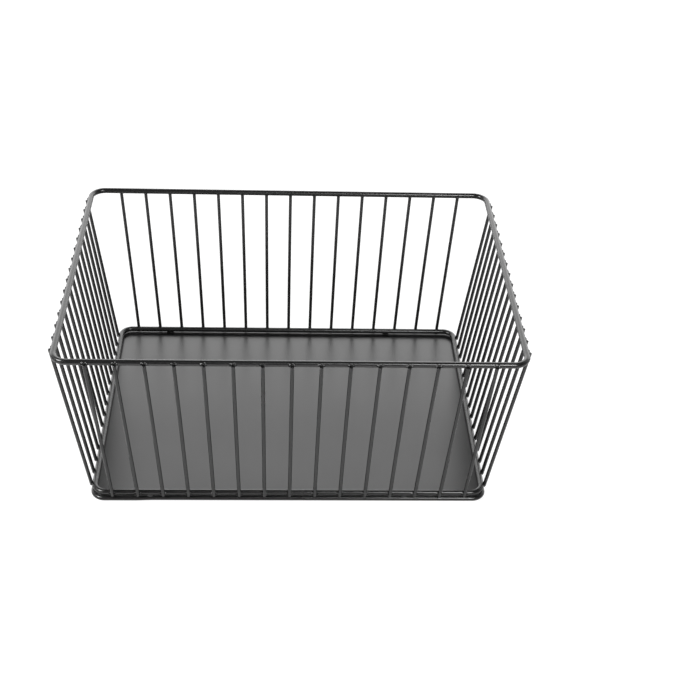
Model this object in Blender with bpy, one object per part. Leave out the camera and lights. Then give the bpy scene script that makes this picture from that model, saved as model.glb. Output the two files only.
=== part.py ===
"""Rectangular display basket: a welded wire wall on a flat sheet-metal base.

Metres, +Z up. The origin is the centre of the footprint, on the surface that
the basket stands on. X runs along the basket, Y across it, and -Y is its front.
"""
import math

import bmesh
import bpy
from mathutils import Vector

# Overall size, measured over the outside of the wall wires
RIM_LENGTH = 0.330
RIM_WIDTH = 0.2425
BASE_LENGTH = 0.295
BASE_WIDTH = 0.216
WALL_HEIGHT = 0.1278  # centre of the base ring to centre of the rim

# Wire diameters
RIM_WIRE = 0.0042
BASE_WIRE = 0.0038
FOOT_WIRE = 0.0035
WALL_WIRE = 0.0027

# Corner radii, on the centre line of the wire
RIM_CORNER_RADIUS = 0.0100
BASE_CORNER_RADIUS = 0.0085

# The foot ring stands a little outside the base ring and clear below it
FOOT_SPREAD = 0.0007
FOOT_GAP = 0.0014

# Base plate, set inside the foot ring
PLATE_THICKNESS = 0.0010
PLATE_DROP = 0.0001  # top of the plate below the top of the foot ring

# Wall wires: the first and last stand this far from where the corner bends begin
WIRES_PER_WALL = 15
LONG_INSET_TOP = 0.0117
LONG_INSET_BASE = 0.0048
END_INSET_TOP = 0.0046
END_INSET_BASE = 0.0005
TIP_DROP = 0.0010  # wire tips below the centre of the rim
FOOT_DROP = 0.0017  # wire feet below the centre of the base ring

# Weld beads that join the base ring to the foot ring, as shares of the
# straight half of the long side
LEFT_WELD_SHARE = -0.76
RIGHT_WELD_SHARE = 0.63
WELD_LENGTH = 0.0056
WELD_WIDTH = 0.0026
WELD_DEPTH = 0.0044

# Weld nugget that joins the middle wire of each wall to the rim
NUGGET_SIZE = 0.0026

# Clear space that is left between pieces which are welded in the real basket
CLEARANCE = 0.0003

# Fineness of the round shapes
ARC_STEPS = 8
RING_BEVEL_RESOLUTION = 4
WIRE_BEVEL_RESOLUTION = 2
WELD_SEGMENTS = 16
CUTTER_SEGMENTS = 32
CUTTER_OVERRUN = 0.0020
MERGE_DISTANCE = 0.00001
SHARP_ANGLE = math.radians(40)

# Powder coat: how dark and how rough it is
WIRE_SHADE = 0.030
WIRE_ROUGHNESS = 0.40
PLATE_SHADE = 0.035
PLATE_ROUGHNESS = 0.30

COLLECTION_NAME = "display_basket"

# Levels, from the foot up
FOOT_LEVEL = FOOT_WIRE / 2
BASE_LEVEL = FOOT_WIRE + FOOT_GAP + BASE_WIRE / 2
RIM_LEVEL = BASE_LEVEL + WALL_HEIGHT
PLATE_LEVEL = FOOT_WIRE - PLATE_DROP - PLATE_THICKNESS / 2
MIDDLE_WIRE = (WIRES_PER_WALL + 1) // 2

# From the middle of a wall wire to the middle of the ring that it is welded to
RIM_STANDOFF = (RIM_WIRE + WALL_WIRE) / 2 + CLEARANCE
BASE_STANDOFF = (BASE_WIRE + WALL_WIRE) / 2 + CLEARANCE

# Half sizes: the planes of the wall wires, then the centre lines of the rings
WALL_TOP_X = (RIM_LENGTH - WALL_WIRE) / 2
WALL_TOP_Y = (RIM_WIDTH - WALL_WIRE) / 2
WALL_BASE_X = (BASE_LENGTH - WALL_WIRE) / 2
WALL_BASE_Y = (BASE_WIDTH - WALL_WIRE) / 2
RIM_X = WALL_TOP_X - RIM_STANDOFF
RIM_Y = WALL_TOP_Y - RIM_STANDOFF
BASE_X = WALL_BASE_X - BASE_STANDOFF
BASE_Y = WALL_BASE_Y - BASE_STANDOFF
FOOT_X = BASE_X + FOOT_SPREAD
FOOT_Y = BASE_Y + FOOT_SPREAD
FOOT_CORNER_RADIUS = BASE_CORNER_RADIUS + FOOT_SPREAD


def clear_scene():
    for item in list(bpy.data.objects):
        bpy.data.objects.remove(item, do_unlink=True)


def make_collection(name):
    collection = bpy.data.collections.new(name)
    bpy.context.scene.collection.children.link(collection)
    return collection


def coating(name, shade, roughness):
    """A powder coat over steel, in one shade of grey."""
    material = bpy.data.materials.new(name)
    material.use_nodes = True
    shader = material.node_tree.nodes["Principled BSDF"]
    shader.inputs["Base Color"].default_value = (shade, shade, shade, 1)
    shader.inputs["Roughness"].default_value = roughness
    shader.inputs["Metallic"].default_value = 0
    material.diffuse_color = (shade, shade, shade, 1)
    return material


def rounded_rectangle(half_x, half_y, radius):
    """Points round a rectangle with round corners, anticlockwise from +X."""
    points = []
    corners = ((1, 1), (-1, 1), (-1, -1), (1, -1))
    quarter = math.pi / 2
    for turn, (side_x, side_y) in enumerate(corners):
        centre_x = side_x * (half_x - radius)
        centre_y = side_y * (half_y - radius)
        for step in range(ARC_STEPS + 1):
            angle = quarter * (turn + step / ARC_STEPS)
            x = centre_x + radius * math.cos(angle)
            y = centre_y + radius * math.sin(angle)
            points.append((x, y))
    return points


def add_spline(curve, points, closed):
    spline = curve.splines.new("POLY")
    spline.points.add(len(points) - 1)
    for control, (x, y, z) in zip(spline.points, points):
        control.co = (x, y, z, 1)
    spline.use_cyclic_u = closed


def make_tube(name, points, diameter, resolution, material, collection, closed=False):
    """A round wire along its points, an open run or a closed hoop."""
    curve = bpy.data.curves.new(name, "CURVE")
    curve.dimensions = "3D"
    curve.twist_mode = "Z_UP"
    curve.bevel_depth = diameter / 2
    curve.bevel_resolution = resolution
    curve.use_fill_caps = not closed
    add_spline(curve, points, closed)
    curve.materials.append(material)
    item = bpy.data.objects.new(name, curve)
    collection.objects.link(item)
    return item


def make_ring(name, half_x, half_y, radius, level, diameter, collection):
    """A closed hoop of wire, bent round four corners and butt welded."""
    outline = rounded_rectangle(half_x, half_y, radius)
    points = [(x, y, 0) for x, y in outline]
    material = coating(name + "_coating", WIRE_SHADE, WIRE_ROUGHNESS)
    item = make_tube(name, points, diameter, RING_BEVEL_RESOLUTION, material, collection, closed=True)
    item.location.z = level
    return item


def make_plate(collection):
    """The flat sheet of the base, inside the foot ring."""
    inset = FOOT_WIRE / 2 + CLEARANCE
    curve = bpy.data.curves.new("base_plate", "CURVE")
    curve.dimensions = "2D"
    curve.fill_mode = "BOTH"
    curve.extrude = PLATE_THICKNESS / 2
    outline = rounded_rectangle(FOOT_X - inset, FOOT_Y - inset, FOOT_CORNER_RADIUS - inset)
    add_spline(curve, [(x, y, 0) for x, y in outline], True)
    curve.materials.append(coating("base_plate_coating", PLATE_SHADE, PLATE_ROUGHNESS))
    item = bpy.data.objects.new("base_plate", curve)
    item.location.z = PLATE_LEVEL
    collection.objects.link(item)
    return item


def spread(half_length, count):
    """Places of evenly spread wires, from one end of a wall to the other."""
    pitch = 2 * half_length / (count - 1)
    return [pitch * number - half_length for number in range(count)]


def wall_wires():
    """Each wall wire as its wall, its number, its place on the rim and its foot."""
    long_tops = spread(RIM_X - RIM_CORNER_RADIUS - LONG_INSET_TOP, WIRES_PER_WALL)
    long_feet = spread(BASE_X - BASE_CORNER_RADIUS - LONG_INSET_BASE, WIRES_PER_WALL)
    end_tops = spread(RIM_Y - RIM_CORNER_RADIUS - END_INSET_TOP, WIRES_PER_WALL)
    end_feet = spread(BASE_Y - BASE_CORNER_RADIUS - END_INSET_BASE, WIRES_PER_WALL)
    for side, wall in ((-1, "front"), (1, "back")):
        for number, (top_x, foot_x) in enumerate(zip(long_tops, long_feet), start=1):
            top = Vector((top_x, side * WALL_TOP_Y, RIM_LEVEL))
            foot = Vector((foot_x, side * WALL_BASE_Y, BASE_LEVEL))
            yield wall, number, top, foot
    for side, wall in ((-1, "left"), (1, "right")):
        for number, (top_y, foot_y) in enumerate(zip(end_tops, end_feet), start=1):
            top = Vector((side * WALL_TOP_X, top_y, RIM_LEVEL))
            foot = Vector((side * WALL_BASE_X, foot_y, BASE_LEVEL))
            yield wall, number, top, foot


def make_wire(name, top, foot, collection):
    """A straight wire from just under the base ring to just under the rim's centre."""
    direction = (top - foot).normalized()
    run = (foot - direction * FOOT_DROP, top - direction * TIP_DROP)
    material = coating(name + "_coating", WIRE_SHADE, WIRE_ROUGHNESS)
    return make_tube(name, run, WALL_WIRE, WIRE_BEVEL_RESOLUTION, material, collection)


def make_walls(rim, collection, tools):
    """Four walls of wires. The middle wire of each wall is welded to the rim."""
    for wall, number, top, foot in wall_wires():
        name = f"{wall}_wire_{number:02d}"
        if number != MIDDLE_WIRE:
            make_wire(name, top, foot, collection)
            continue
        wire = to_mesh(make_wire(name, top, foot, tools))
        hide_tool(wire)
        unite(rim, wire)
        unite(rim, make_nugget(name + "_nugget", wall, top, tools))


def make_nugget(name, wall, top, tools):
    """A ball of weld metal between the tip of a wall wire and the rim."""
    reach = RIM_STANDOFF - (RIM_WIRE + CLEARANCE) / 2
    inward = {"front": (0, 1), "back": (0, -1), "left": (1, 0), "right": (-1, 0)}[wall]
    centre = (top.x + reach * inward[0], top.y + reach * inward[1], top.z - TIP_DROP)
    size = (NUGGET_SIZE, NUGGET_SIZE, NUGGET_SIZE)
    nugget = make_ball(name, centre, size, tools)
    hide_tool(nugget)
    return nugget


def make_ball(name, centre, size, collection):
    """A ball, or an egg of three sizes, with its scale applied."""
    bpy.ops.mesh.primitive_uv_sphere_add(
        segments=WELD_SEGMENTS,
        ring_count=WELD_SEGMENTS // 2,
        radius=1,
        location=centre,
        scale=[across / 2 for across in size],
    )
    bpy.ops.object.transform_apply(location=False, rotation=False, scale=True)
    ball = bpy.context.active_object
    ball.name = name
    move_to(ball, collection)
    return ball


def move_to(item, collection):
    for old in list(item.users_collection):
        old.objects.unlink(item)
    collection.objects.link(item)


def hide_tool(item):
    item.hide_render = True
    item.display_type = "WIRE"


def to_mesh(item):
    """The same tube as a closed mesh, so that it can be cut and joined."""
    graph = bpy.context.evaluated_depsgraph_get()
    mesh = bpy.data.meshes.new_from_object(item.evaluated_get(graph))
    work = bmesh.new()
    work.from_mesh(mesh)
    bmesh.ops.remove_doubles(work, verts=work.verts, dist=MERGE_DISTANCE)
    work.to_mesh(mesh)
    work.free()
    mesh.shade_smooth()
    mesh.set_sharp_from_angle(angle=SHARP_ANGLE)
    name = item.name
    place = item.matrix_world.copy()
    collection = item.users_collection[0]
    bpy.data.objects.remove(item, do_unlink=True)
    solid = bpy.data.objects.new(name, mesh)
    solid.matrix_world = place
    collection.objects.link(solid)
    return solid


def change(item, tool, operation):
    step = item.modifiers.new(tool.name, "BOOLEAN")
    step.operation = operation
    step.object = tool


def unite(item, tool):
    change(item, tool, "UNION")


def cut(item, tool):
    change(item, tool, "DIFFERENCE")


def make_ring_cutter(name, centre, collection):
    """A straight stretch of base ring, with its clearance, to cut a bead to fit."""
    bpy.ops.mesh.primitive_cylinder_add(
        vertices=CUTTER_SEGMENTS,
        radius=BASE_WIRE / 2 + CLEARANCE,
        depth=WELD_LENGTH + 2 * CUTTER_OVERRUN,
        location=centre,
        rotation=(0, math.pi / 2, 0),
    )
    cutter = bpy.context.active_object
    cutter.name = name
    hide_tool(cutter)
    move_to(cutter, collection)
    return cutter


def make_ring_welds(foot_ring, tools):
    """Beads on the foot ring that carry the base ring, under the long walls."""
    straight = BASE_X - BASE_CORNER_RADIUS
    size = (WELD_LENGTH, WELD_WIDTH, WELD_DEPTH)
    for side, wall in ((-1, "front"), (1, "back")):
        for share, end in ((LEFT_WELD_SHARE, "left"), (RIGHT_WELD_SHARE, "right")):
            name = f"ring_weld_{wall}_{end}"
            x = straight * share
            centre = (x, side * FOOT_Y, (BASE_LEVEL + FOOT_LEVEL) / 2)
            bead = make_ball(name, centre, size, tools)
            cutter_centre = (x, side * BASE_Y, BASE_LEVEL)
            cut(bead, make_ring_cutter(name + "_cutter", cutter_centre, tools))
            hide_tool(bead)
            unite(foot_ring, bead)


def build():
    clear_scene()
    parts = make_collection(COLLECTION_NAME)
    tools = make_collection(COLLECTION_NAME + "_tools")
    rim = make_ring("rim_ring", RIM_X, RIM_Y, RIM_CORNER_RADIUS, RIM_LEVEL, RIM_WIRE, parts)
    make_ring("base_ring", BASE_X, BASE_Y, BASE_CORNER_RADIUS, BASE_LEVEL, BASE_WIRE, parts)
    foot = make_ring("foot_ring", FOOT_X, FOOT_Y, FOOT_CORNER_RADIUS, FOOT_LEVEL, FOOT_WIRE, parts)
    make_plate(parts)
    make_walls(to_mesh(rim), parts, tools)
    make_ring_welds(to_mesh(foot), tools)


build()
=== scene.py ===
"""A black powder-coated wire display basket on a plain white ground."""
import math
import random

import bmesh
import bpy
from mathutils import Matrix, Vector, noise


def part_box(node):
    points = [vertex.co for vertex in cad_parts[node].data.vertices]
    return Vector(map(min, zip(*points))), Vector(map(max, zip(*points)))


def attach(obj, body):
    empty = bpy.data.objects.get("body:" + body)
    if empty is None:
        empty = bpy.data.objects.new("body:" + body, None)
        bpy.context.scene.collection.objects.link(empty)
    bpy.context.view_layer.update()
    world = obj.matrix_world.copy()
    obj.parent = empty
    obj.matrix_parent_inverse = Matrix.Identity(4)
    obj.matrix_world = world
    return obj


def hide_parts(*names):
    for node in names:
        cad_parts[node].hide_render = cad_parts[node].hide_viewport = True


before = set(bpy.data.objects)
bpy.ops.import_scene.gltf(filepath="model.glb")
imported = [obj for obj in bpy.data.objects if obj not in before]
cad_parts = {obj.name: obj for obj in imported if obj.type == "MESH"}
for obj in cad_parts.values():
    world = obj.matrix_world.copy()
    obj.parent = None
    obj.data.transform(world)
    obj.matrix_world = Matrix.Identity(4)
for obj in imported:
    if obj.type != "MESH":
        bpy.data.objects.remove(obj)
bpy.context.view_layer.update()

MM = 0.001
UP = Vector((0, 0, 1))

# Wall wires, as the frame numbers them
WALLS = ("front", "back", "left", "right")
INWARD = {
    "front": Vector((0, 1, 0)),
    "back": Vector((0, -1, 0)),
    "left": Vector((1, 0, 0)),
    "right": Vector((-1, 0, 0)),
}
WIRES_PER_WALL = 15
MIDDLE_WIRE = 8
SEEDS_PER_WALL = 100
# The share of a wire's height at each end that gives its foot and its tip
END_SHARE = 0.25

# Thickness of the wires with their coating
RIM_WIRE = 4.35 * MM
BASE_WIRE = 4.3 * MM
FOOT_WIRE = 3.6 * MM
WALL_WIRE = 2.64 * MM

# How finely the hoops are cut: round the wire, in a corner, along a side
HOOP_SIDES = 28
ARC_STEPS = 20
STRAIGHT_STEPS = 24

# How finely a wall wire is cut, how its ends are rounded, how much it may bow
WIRE_SIDES = 20
WIRE_STEPS = 14
TIP_STEPS = 5
TIP_ROUNDING = 0.55 * MM
BOW = 0.10 * MM

# Corner bends, on the centre line of the wire
RIM_CORNER = 10.6 * MM
BASE_CORNER = 9.0 * MM
FOOT_CORNER = 8.6 * MM

# The welded wires overlap the rim and base hoops by this much
RIM_SINK = 0.53 * MM
BASE_SINK = 0.70 * MM
# Small shifts from the frame's solids, which leave gaps at the welds: the
# wires' tips and feet go inwards, the tips up, and the base hoop down
TIP_SHIFT = 0.15 * MM
TIP_LIFT = 0.5 * MM
FOOT_SHIFT = 0.30 * MM
BASE_DROP = 0.20 * MM

# The foot hoop is larger than the base hoop by this much on each side, and
# welded on a little to the front
FOOT_SPREAD = Vector((1.15, 0.70)) * MM
FOOT_ASIDE = Vector((0, -0.22, 0)) * MM

# Fillets of weld metal on both sides of a wall wire, on the outside of a hoop.
# The size runs along the hoop, out of it and up it, and varies by the spread.
# The offset runs along the hoop from the wire, the rise out of the hoop's
# surface and the lift up it. The outside tilts up and the two lean, in radians
FILLET_SIZE = Vector((1.8, 1.2, 3.2)) * MM
FILLET_SPREAD = 0.12
FILLET_OFFSET = 1.42 * MM
FILLET_RISE = 0.28 * MM
FILLET_LIFT = -0.85 * MM
FILLET_TILT = 0.65
FILLET_LEAN = 0.45
FILLET_ROUGHNESS = 0.08 * MM

# Butt welds of the hoops. Each lies on a long side, at this share of the way
# from its middle to its end
BUTT_SWELL = 0.20 * MM
BUTT_LENGTH = 1.6 * MM
BACK_BUTT_SHARE = 0.3
FOOT_BUTT_SHARE = -0.72
# The ends of the foot hoop don't quite meet
FOOT_STEP = 0.50 * MM

# Weld beads between the base hoop and the foot hoop, as wall, end, place along
# X and seed
BEAD_LEFT = -102 * MM
BEAD_RIGHT = 84.6 * MM
BEADS = (
    ("front", "left", BEAD_LEFT, 14),
    ("front", "right", BEAD_RIGHT, 21),
    ("back", "left", BEAD_LEFT, 28),
    ("back", "right", BEAD_RIGHT, 35),
)
BEAD_SIZE = Vector((5.6, 3.0, 4.6)) * MM
BEAD_ROUGHNESS = 0.35 * MM

# Lumps of weld metal: how finely they are cut, and how close their bumps lie
LUMP_SEGMENTS = 18
LUMP_RINGS = 12
LUMP_GRAIN = 1.6

# The base sheet reaches a little past the centre line of the base hoop, and is
# higher than its solid. The margin is a band of faces inside the rounded edge,
# which keeps the edge's shading off the flat face
PLATE_SPREAD = 0.55 * MM
PLATE_LIFT = Vector((0, 0, 0.4)) * MM
PLATE_EDGE_ROUNDING = 0.35 * MM
PLATE_EDGE_STEPS = 3
PLATE_MARGIN = 1.0 * MM
PLATE_SHARP_ANGLE = math.radians(50)

# Powder coat: its broad noise changes shade and gloss, its fine noise is the
# orange peel. Scales are bumps a metre
BROAD_SCALE = 35
BROAD_DETAIL = 4
FINE_SCALE = 1300
FINE_DETAIL = 2
TONE_RANGE = (0.85, 1.15)
GLOSS_CHANGE = 0.04
PEEL_DEPTH = 0.03 * MM

# The sockets of a Mix node that mixes colours
MIX_FACTOR = 0
MIX_FIRST = 6
MIX_SECOND = 7
MIX_RESULT = 2

# Camera, at the photograph's viewing angle. The angles are radians
CAMERA_PLACE = Vector((-0.01168, -0.80574, 0.64786))
CAMERA_YAW = 0.06234
CAMERA_PITCH = 0.62060
CAMERA_ROLL = 0.04512
CLIP_START = 0.01
SENSOR_MM = 36
FOCAL_PIXELS = 1280.57
IMAGE_PIXELS = 680

# The room that lights the basket, beside a white background of 1. It is dim
# behind the camera and bright ahead of it, and drops to a share of that
# overhead. It changes between these values of a direction's Y and Z
ROOM_BRIGHT = 0.85
ROOM_DIM = 0.13
ROOM_OVERHEAD = 0.12
ROOM_TURN = (-0.3, 0.4)
ROOM_RISE = (0.6, 0.9)

# The floor: what lights the basket is plain paper, what the camera sees glows
FLOOR_SIZE = 12.0
FLOOR_PAPER = 0.8
FLOOR_GLOW = 0.86
FLOOR_SHADE = 0.25

# Softboxes, as name, place, size and radiance
SOFTBOXES = (
    ("back_softbox", (0, 0.90, 0.46), (3.6, 0.90), 1.99),
    ("key_softbox", (0.38, -1.05, 0.99), (0.3, 0.5), 18.7),
    ("left_softbox", (-1.07, -0.48, 1.10), (0.45, 0.45), 27),
)


# Meshes

def new_piece(name, mesh, material):
    piece = bpy.data.objects.new(name, mesh)
    bpy.context.scene.collection.objects.link(piece)
    mesh.materials.append(material)
    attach(piece, "root")
    return piece


def mesh_of(name, work):
    mesh = bpy.data.meshes.new(name)
    bmesh.ops.recalc_face_normals(work, faces=work.faces)
    work.to_mesh(mesh)
    work.free()
    mesh.shade_smooth()
    return mesh


def add_ring(work, centre, across, up, radius, sides):
    """A ring of vertices round a centre, in the plane of two directions."""
    ring = []
    for side in range(sides):
        angle = math.tau * side / sides
        offset = across * math.cos(angle) + up * math.sin(angle)
        ring.append(work.verts.new(centre + offset * radius))
    return ring


def join_rings(work, first, second):
    count = len(first)
    for side in range(count):
        after = (side + 1) % count
        work.faces.new((first[side], first[after], second[after], second[side]))


def close_end(work, ring, centre):
    pole = work.verts.new(centre)
    count = len(ring)
    for side in range(count):
        work.faces.new((ring[side], ring[(side + 1) % count], pole))


def rounded_path(half_x, half_y, radius, level):
    """Centre line of a hoop, anticlockwise: round corners and straight runs."""
    corners = ((1, 1), (-1, 1), (-1, -1), (1, -1))

    def on_corner(number, angle):
        side_x, side_y = corners[number % len(corners)]
        x = side_x * (half_x - radius)
        y = side_y * (half_y - radius)
        turn = Vector((math.cos(angle), math.sin(angle), 0))
        return Vector((x, y, level)) + radius * turn

    points = []
    for number in range(len(corners)):
        for step in range(ARC_STEPS + 1):
            angle = math.pi / 2 * (number + step / ARC_STEPS)
            points.append(on_corner(number, angle))
        start = points[-1]
        end = on_corner(number + 1, math.pi / 2 * (number + 1))
        for step in range(1, STRAIGHT_STEPS):
            points.append(start.lerp(end, step / STRAIGHT_STEPS))
    return points


def step_outward(point, butt):
    """Takes the front run of the foot hoop left of its butt weld further out."""
    share = 1 - (point.y - butt.y) / FOOT_CORNER
    if point.x < butt.x and share > 0:
        point.y -= FOOT_STEP * share


def hoop_mesh(name, points, wire, butt):
    """A closed hoop of round wire with a slight swelling at its butt weld."""
    work = bmesh.new()
    rings = []
    for number, point in enumerate(points):
        before = points[number - 1]
        after = points[(number + 1) % len(points)]
        along = (after - before).normalized()
        across = along.cross(UP)
        swell = BUTT_SWELL * math.exp(-(((point - butt).length / BUTT_LENGTH) ** 2))
        wide = across * (1 + 2 * swell / wire)
        rings.append(add_ring(work, point, wide, UP, wire / 2, HOOP_SIDES))
    for number, ring in enumerate(rings):
        join_rings(work, ring, rings[(number + 1) % len(rings)])
    return mesh_of(name, work)


def wire_profile(length):
    """Places along a wall wire, with the share of its radius at each."""
    foot_end = []
    for step in range(TIP_STEPS, 0, -1):
        angle = math.pi / 2 * step / (TIP_STEPS + 1)
        foot_end.append((TIP_ROUNDING * (1 - math.sin(angle)), math.cos(angle)))
    tip_end = [(length - place, share) for place, share in reversed(foot_end)]
    straight = length - 2 * TIP_ROUNDING
    middle = []
    for step in range(WIRE_STEPS + 1):
        middle.append((TIP_ROUNDING + straight * step / WIRE_STEPS, 1))
    return foot_end + middle + tip_end


def wire_mesh(name, foot, tip, seed):
    """A straight drawn wire with rounded ends and a trace of bow."""
    random.seed(seed)
    along = (tip - foot).normalized()
    across = along.cross(UP).normalized()
    depth = across.cross(along).normalized()
    length = (tip - foot).length
    lean = random.uniform(-BOW, BOW)
    work = bmesh.new()
    rings = []
    for place, share in wire_profile(length):
        bow = lean * math.sin(math.pi * place / length)
        centre = foot + along * place + across * bow
        radius = WALL_WIRE / 2 * share
        rings.append(add_ring(work, centre, across, depth, radius, WIRE_SIDES))
    for first, second in zip(rings, rings[1:]):
        join_rings(work, first, second)
    close_end(work, rings[0], foot)
    close_end(work, rings[-1], tip)
    return mesh_of(name, work)


def add_lump(work, centre, axes, size, roughness, seed):
    """An egg of weld metal, a little uneven, with its three axes given."""
    made = bmesh.ops.create_uvsphere(
        work, u_segments=LUMP_SEGMENTS, v_segments=LUMP_RINGS, radius=1)
    for vertex in made["verts"]:
        place = vertex.co.copy()
        grain = place * LUMP_GRAIN + Vector((seed, 0, 0))
        uneven = noise.noise(grain) * roughness
        local = [place[k] * (size[k] / 2 + uneven) for k in range(3)]
        steps = (axis * step for axis, step in zip(axes, local))
        vertex.co = centre + sum(steps, Vector())


def fillets_mesh(name, centre, radius, along_ring, inward, seed):
    """Two small fillets where a wall wire meets a hoop, one on each side."""
    random.seed(seed)
    work = bmesh.new()
    face = UP * math.sin(FILLET_TILT) - inward * math.cos(FILLET_TILT)
    up = face.cross(along_ring)
    up *= math.copysign(1, up.z)
    for side in (-1, 1):
        size = FILLET_SIZE * (1 + random.uniform(-FILLET_SPREAD, FILLET_SPREAD))
        lean = side * FILLET_LEAN
        axes = (
            along_ring * math.cos(lean) + up * math.sin(lean),
            face,
            up * math.cos(lean) - along_ring * math.sin(lean),
        )
        place = centre + along_ring * side * FILLET_OFFSET + up * FILLET_LIFT
        place += face * (radius + FILLET_RISE - size.y / 2)
        add_lump(work, place, axes, size, FILLET_ROUGHNESS, seed + side)
    return mesh_of(name, work)


# Materials

def link(tree, source, output, target, socket):
    tree.links.new(source.outputs[output], target.inputs[socket])


def add_noise(tree, place, scale, detail):
    node = tree.nodes.new("ShaderNodeTexNoise")
    node.inputs["Scale"].default_value = scale
    node.inputs["Detail"].default_value = detail
    link(tree, place, "Object", node, "Vector")
    return node


def add_range(tree, source, output, low, high):
    """A value that runs from low to high while the source runs from 0 to 1."""
    node = tree.nodes.new("ShaderNodeMapRange")
    node.inputs["To Min"].default_value = low
    node.inputs["To Max"].default_value = high
    link(tree, source, output, node, "Value")
    return node


def powder_coat(name, shade, roughness, peel, ior):
    """Black powder coat: orange peel, and slight changes of gloss and shade."""
    material = bpy.data.materials.new(name)
    material.use_nodes = True
    tree = material.node_tree
    shader = tree.nodes["Principled BSDF"]
    shader.inputs["IOR"].default_value = ior
    place = tree.nodes.new("ShaderNodeTexCoord")
    broad = add_noise(tree, place, BROAD_SCALE, BROAD_DETAIL)
    fine = add_noise(tree, place, FINE_SCALE, FINE_DETAIL)
    tone = add_range(tree, broad, "Fac", *TONE_RANGE)
    colour = tree.nodes.new("ShaderNodeMix")
    colour.data_type = "RGBA"
    colour.blend_type = "MULTIPLY"
    colour.inputs[MIX_FACTOR].default_value = 1
    colour.inputs[MIX_FIRST].default_value = (shade, shade, shade, 1)
    link(tree, tone, "Result", colour, MIX_SECOND)
    link(tree, colour, MIX_RESULT, shader, "Base Color")
    low, high = roughness - GLOSS_CHANGE, roughness + GLOSS_CHANGE
    gloss = add_range(tree, broad, "Fac", low, high)
    link(tree, gloss, "Result", shader, "Roughness")
    bump = tree.nodes.new("ShaderNodeBump")
    bump.inputs["Strength"].default_value = peel
    bump.inputs["Distance"].default_value = PEEL_DEPTH
    link(tree, fine, "Fac", bump, "Height")
    link(tree, bump, "Normal", shader, "Normal")
    return material


WIRE_COAT = powder_coat(
    "wire_coat", shade=0.007, roughness=0.26, peel=0.30, ior=1.58)
WELD_COAT = powder_coat(
    "weld_coat", shade=0.007, roughness=0.18, peel=0.40, ior=1.58)
SHEET_COAT = powder_coat(
    "sheet_coat", shade=0.0035, roughness=0.30, peel=0.10, ior=1.62)


# Where things lie, from the frame

def cad_wire(name):
    """Foot and tip of a wall wire, read from the frame's solid."""
    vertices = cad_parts[name].data.vertices
    points = sorted((vertex.co.copy() for vertex in vertices), key=lambda co: co.z)
    bottom, top = points[0].z, points[-1].z
    end = (top - bottom) * END_SHARE
    low = [co for co in points if co.z < bottom + end]
    high = [co for co in points if co.z > top - end]
    return sum(low, Vector()) / len(low), sum(high, Vector()) / len(high)


def wall_wire(wall, number):
    """Foot and tip of a wall wire. The middle one lies between its neighbours."""
    if number != MIDDLE_WIRE:
        return cad_wire(f"{wall}_wire_{number:02d}")
    before = cad_wire(f"{wall}_wire_{number - 1:02d}")
    after = cad_wire(f"{wall}_wire_{number + 1:02d}")
    return [(one + two) / 2 for one, two in zip(before, after)]


def at_level(foot, tip, level):
    return foot.lerp(tip, (level - foot.z) / (tip.z - foot.z))


def wire_ends(wall, number):
    """Foot and tip of a wall wire as welded: a trace nearer the hoops."""
    foot, tip = wall_wire(wall, number)
    foot += INWARD[wall] * FOOT_SHIFT
    tip += INWARD[wall] * TIP_SHIFT
    return foot, at_level(foot, tip, tip.z + TIP_LIFT)


BASE_LEVEL = (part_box("base_ring")[0][2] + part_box("base_ring")[1][2]) / 2 - BASE_DROP
FOOT_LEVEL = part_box("foot_ring")[0][2] + FOOT_WIRE / 2
RIM_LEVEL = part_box("rim_ring")[1][2] - RIM_WIRE / 2
RIM_STANDOFF = (RIM_WIRE + WALL_WIRE) / 2 - RIM_SINK
BASE_STANDOFF = (BASE_WIRE + WALL_WIRE) / 2 - BASE_SINK


def hoop_size(level, standoff):
    """Half sizes of a hoop's centre line, from the wires welded to it."""
    half_x = at_level(*wire_ends("right", MIDDLE_WIRE), level).x - standoff
    half_y = at_level(*wire_ends("back", MIDDLE_WIRE), level).y - standoff
    return half_x, half_y


RIM_X, RIM_Y = hoop_size(RIM_LEVEL, RIM_STANDOFF)
BASE_X, BASE_Y = hoop_size(BASE_LEVEL, BASE_STANDOFF)
FOOT_X = BASE_X + FOOT_SPREAD.x
FOOT_Y = BASE_Y + FOOT_SPREAD.y


# The basket

def make_hoop(name, node, points, wire, butt):
    mesh = hoop_mesh(name, points, wire, butt)
    piece = new_piece(name, mesh, WIRE_COAT)
    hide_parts(node)


def make_hoops():
    rim = rounded_path(RIM_X, RIM_Y, RIM_CORNER, RIM_LEVEL)
    butt = Vector((BACK_BUTT_SHARE * RIM_X, RIM_Y, RIM_LEVEL))
    make_hoop("rim_hoop", "rim_ring", rim, RIM_WIRE, butt)
    base = rounded_path(BASE_X, BASE_Y, BASE_CORNER, BASE_LEVEL)
    butt = Vector((BACK_BUTT_SHARE * BASE_X, BASE_Y, BASE_LEVEL))
    make_hoop("base_hoop", "base_ring", base, BASE_WIRE, butt)
    foot = rounded_path(FOOT_X, FOOT_Y, FOOT_CORNER, FOOT_LEVEL)
    butt = Vector((FOOT_BUTT_SHARE * FOOT_X, -FOOT_Y, FOOT_LEVEL))
    for point in foot:
        step_outward(point, butt)
        point += FOOT_ASIDE
    make_hoop("foot_hoop", "foot_ring", foot, FOOT_WIRE, butt + FOOT_ASIDE)


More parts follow.
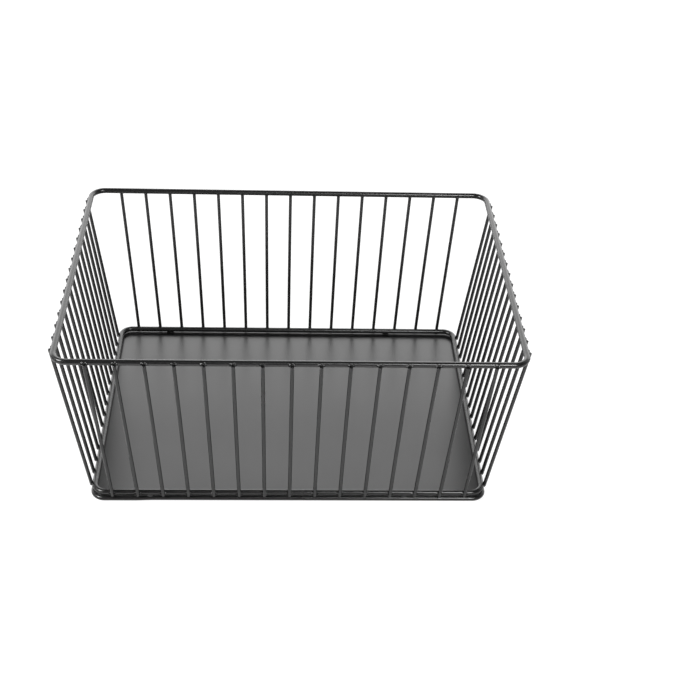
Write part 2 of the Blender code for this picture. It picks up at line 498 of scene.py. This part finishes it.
def make_fillets(wall, number, foot, tip, seed):
    inward = INWARD[wall]
    along_ring = UP.cross(inward).normalized()
    joints = (
        ("rim", RIM_LEVEL, RIM_STANDOFF, RIM_WIRE),
        ("base", BASE_LEVEL, BASE_STANDOFF, BASE_WIRE),
    )
    for place, level, standoff, wire in joints:
        centre = at_level(foot, tip, level) + inward * standoff
        name = f"{place}_weld_{wall}_{number:02d}"
        mesh = fillets_mesh(name, centre, wire / 2, along_ring, inward, seed)
        new_piece(name, mesh, WELD_COAT)


def make_wires():
    """The wall wires and their fillets. The rim's solid holds the middle wires."""
    for wall in WALLS:
        for number in range(1, WIRES_PER_WALL + 1):
            foot, tip = wire_ends(wall, number)
            name = f"{wall}_upright_{number:02d}"
            seed = WALLS.index(wall) * SEEDS_PER_WALL + number
            mesh = wire_mesh(name, foot, tip, seed)
            piece = new_piece(name, mesh, WIRE_COAT)
            if number == MIDDLE_WIRE:
                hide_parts("rim_ring")
            else:
                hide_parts(f"{wall}_wire_{number:02d}")
            make_fillets(wall, number, foot, tip, seed)


def make_beads():
    """Four weld beads that hold the base hoop on the foot hoop."""
    axes = (Vector((1, 0, 0)), Vector((0, 1, 0)), UP)
    level = (BASE_LEVEL + FOOT_LEVEL) / 2
    for wall, end, place, seed in BEADS:
        centre = Vector((place, -INWARD[wall].y * FOOT_Y, level))
        work = bmesh.new()
        add_lump(work, centre, axes, BEAD_SIZE, BEAD_ROUGHNESS, seed)
        name = f"ring_weld_{wall}_{end}"
        new_piece(name, mesh_of(name, work), WELD_COAT)


def plate_outline(bottom, top):
    """The sheet's rounded edge from below to above, as inset and level."""
    rounding = []
    for step in range(PLATE_EDGE_STEPS + 1):
        turn = math.pi / 2 * step / PLATE_EDGE_STEPS
        inset = PLATE_EDGE_ROUNDING * (1 - math.sin(turn))
        rise = PLATE_EDGE_ROUNDING * (1 - math.cos(turn))
        rounding.append((inset, rise))
    lower = [(inset, bottom + rise) for inset, rise in rounding]
    upper = [(inset, top - rise) for inset, rise in reversed(rounding)]
    return [(PLATE_MARGIN, bottom)] + lower + upper + [(PLATE_MARGIN, top)]


def make_plate():
    """The flat base sheet, with softly rounded edges."""
    low, high = (Vector(corner) + PLATE_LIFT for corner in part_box("base_plate"))
    half_x = BASE_X + PLATE_SPREAD
    half_y = BASE_Y + PLATE_SPREAD
    corner = BASE_CORNER + PLATE_SPREAD
    work = bmesh.new()
    rings = []
    for inset, level in plate_outline(low.z, high.z):
        path = rounded_path(half_x - inset, half_y - inset, corner - inset, level)
        rings.append([work.verts.new(point) for point in path])
    for first, second in zip(rings, rings[1:]):
        join_rings(work, first, second)
    work.faces.new(rings[0])
    work.faces.new(rings[-1])
    mesh = mesh_of("base_sheet", work)
    mesh.set_sharp_from_angle(angle=PLATE_SHARP_ANGLE)
    piece = new_piece("base_sheet", mesh, SHEET_COAT)
    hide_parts("base_plate")


# Camera and studio

def make_camera():
    camera = bpy.data.cameras.new("camera")
    camera.sensor_width = SENSOR_MM
    camera.lens = FOCAL_PIXELS / IMAGE_PIXELS * SENSOR_MM
    camera.clip_start = CLIP_START
    item = bpy.data.objects.new("camera", camera)
    bpy.context.scene.collection.objects.link(item)
    level = math.cos(CAMERA_PITCH)
    forward = Vector((
        math.sin(CAMERA_YAW) * level,
        math.cos(CAMERA_YAW) * level,
        -math.sin(CAMERA_PITCH),
    ))
    right = forward.cross(UP).normalized()
    up = right.cross(forward)
    turned_right = right * math.cos(CAMERA_ROLL) + up * math.sin(CAMERA_ROLL)
    turned_up = up * math.cos(CAMERA_ROLL) - right * math.sin(CAMERA_ROLL)
    turn = Matrix((turned_right, turned_up, -forward)).transposed()
    item.matrix_world = Matrix.Translation(CAMERA_PLACE) @ turn.to_4x4()
    bpy.context.scene.camera = item


def mix_for_camera(tree, other, seen):
    """One shader for the camera, also through glass, and another for the rest."""
    path = tree.nodes.new("ShaderNodeLightPath")
    direct = tree.nodes.new("ShaderNodeMath")
    direct.operation = "MAXIMUM"
    link(tree, path, "Is Camera Ray", direct, 0)
    link(tree, path, "Is Transmission Ray", direct, 1)
    mix = tree.nodes.new("ShaderNodeMixShader")
    link(tree, direct, "Value", mix, "Fac")
    link(tree, other, 0, mix, 1)
    link(tree, seen, 0, mix, 2)
    return mix


def smooth_step(tree, source, output, run, low, high):
    """A value that turns smoothly from low to high along the source's run."""
    step = add_range(tree, source, output, low, high)
    step.interpolation_type = "SMOOTHSTEP"
    step.inputs["From Min"].default_value = run[0]
    step.inputs["From Max"].default_value = run[1]
    return step


def make_world():
    """White for the camera, and for the rest a room that lights the basket."""
    world = bpy.data.worlds.new("studio")
    bpy.context.scene.world = world
    world.use_nodes = True
    tree = world.node_tree
    tree.nodes.clear()
    white = tree.nodes.new("ShaderNodeBackground")
    white.inputs["Color"].default_value = (1, 1, 1, 1)
    white.inputs["Strength"].default_value = 1
    room = tree.nodes.new("ShaderNodeBackground")
    room.inputs["Strength"].default_value = 1
    place = tree.nodes.new("ShaderNodeTexCoord")
    split = tree.nodes.new("ShaderNodeSeparateXYZ")
    link(tree, place, "Generated", split, "Vector")
    ahead = smooth_step(tree, split, "Y", ROOM_TURN, ROOM_DIM, ROOM_BRIGHT)
    overhead = smooth_step(tree, split, "Z", ROOM_RISE, 1, ROOM_OVERHEAD)
    both = tree.nodes.new("ShaderNodeMath")
    both.operation = "MULTIPLY"
    link(tree, ahead, "Result", both, 0)
    link(tree, overhead, "Result", both, 1)
    link(tree, both, "Value", room, "Color")
    out = tree.nodes.new("ShaderNodeOutputWorld")
    link(tree, mix_for_camera(tree, room, white), 0, out, "Surface")


def add_diffuse(tree, grey):
    node = tree.nodes.new("ShaderNodeBsdfDiffuse")
    node.inputs["Color"].default_value = (grey, grey, grey, 1)
    return node


def make_floor():
    """A plain white floor that keeps a light shadow of the basket."""
    bpy.ops.mesh.primitive_plane_add(size=FLOOR_SIZE, location=(0, 0, 0))
    floor = bpy.context.active_object
    floor.name = "floor"
    material = bpy.data.materials.new("floor_paper")
    material.use_nodes = True
    tree = material.node_tree
    tree.nodes.clear()
    paper = add_diffuse(tree, FLOOR_PAPER)
    glow = tree.nodes.new("ShaderNodeEmission")
    glow.inputs["Strength"].default_value = FLOOR_GLOW
    both = tree.nodes.new("ShaderNodeAddShader")
    link(tree, glow, 0, both, 0)
    link(tree, add_diffuse(tree, FLOOR_SHADE), 0, both, 1)
    out = tree.nodes.new("ShaderNodeOutputMaterial")
    link(tree, mix_for_camera(tree, paper, both), 0, out, "Surface")
    floor.data.materials.append(material)


def make_light(name, place, size, radiance):
    """A rectangular softbox that faces the basket, as bright as its radiance."""
    lamp = bpy.data.lights.new(name, "AREA")
    lamp.shape = "RECTANGLE"
    lamp.size, lamp.size_y = size
    lamp.energy = math.pi * size[0] * size[1] * radiance
    item = bpy.data.objects.new(name, lamp)
    bpy.context.scene.collection.objects.link(item)
    item.location = place
    item.rotation_euler = (-Vector(place)).to_track_quat("-Z", "Y").to_euler()
    item.visible_camera = False


def make_studio():
    bpy.context.scene.view_settings.view_transform = "Standard"
    make_world()
    make_floor()
    for softbox in SOFTBOXES:
        make_light(*softbox)


make_camera()
make_studio()
make_hoops()
make_wires()
make_beads()
make_plate()
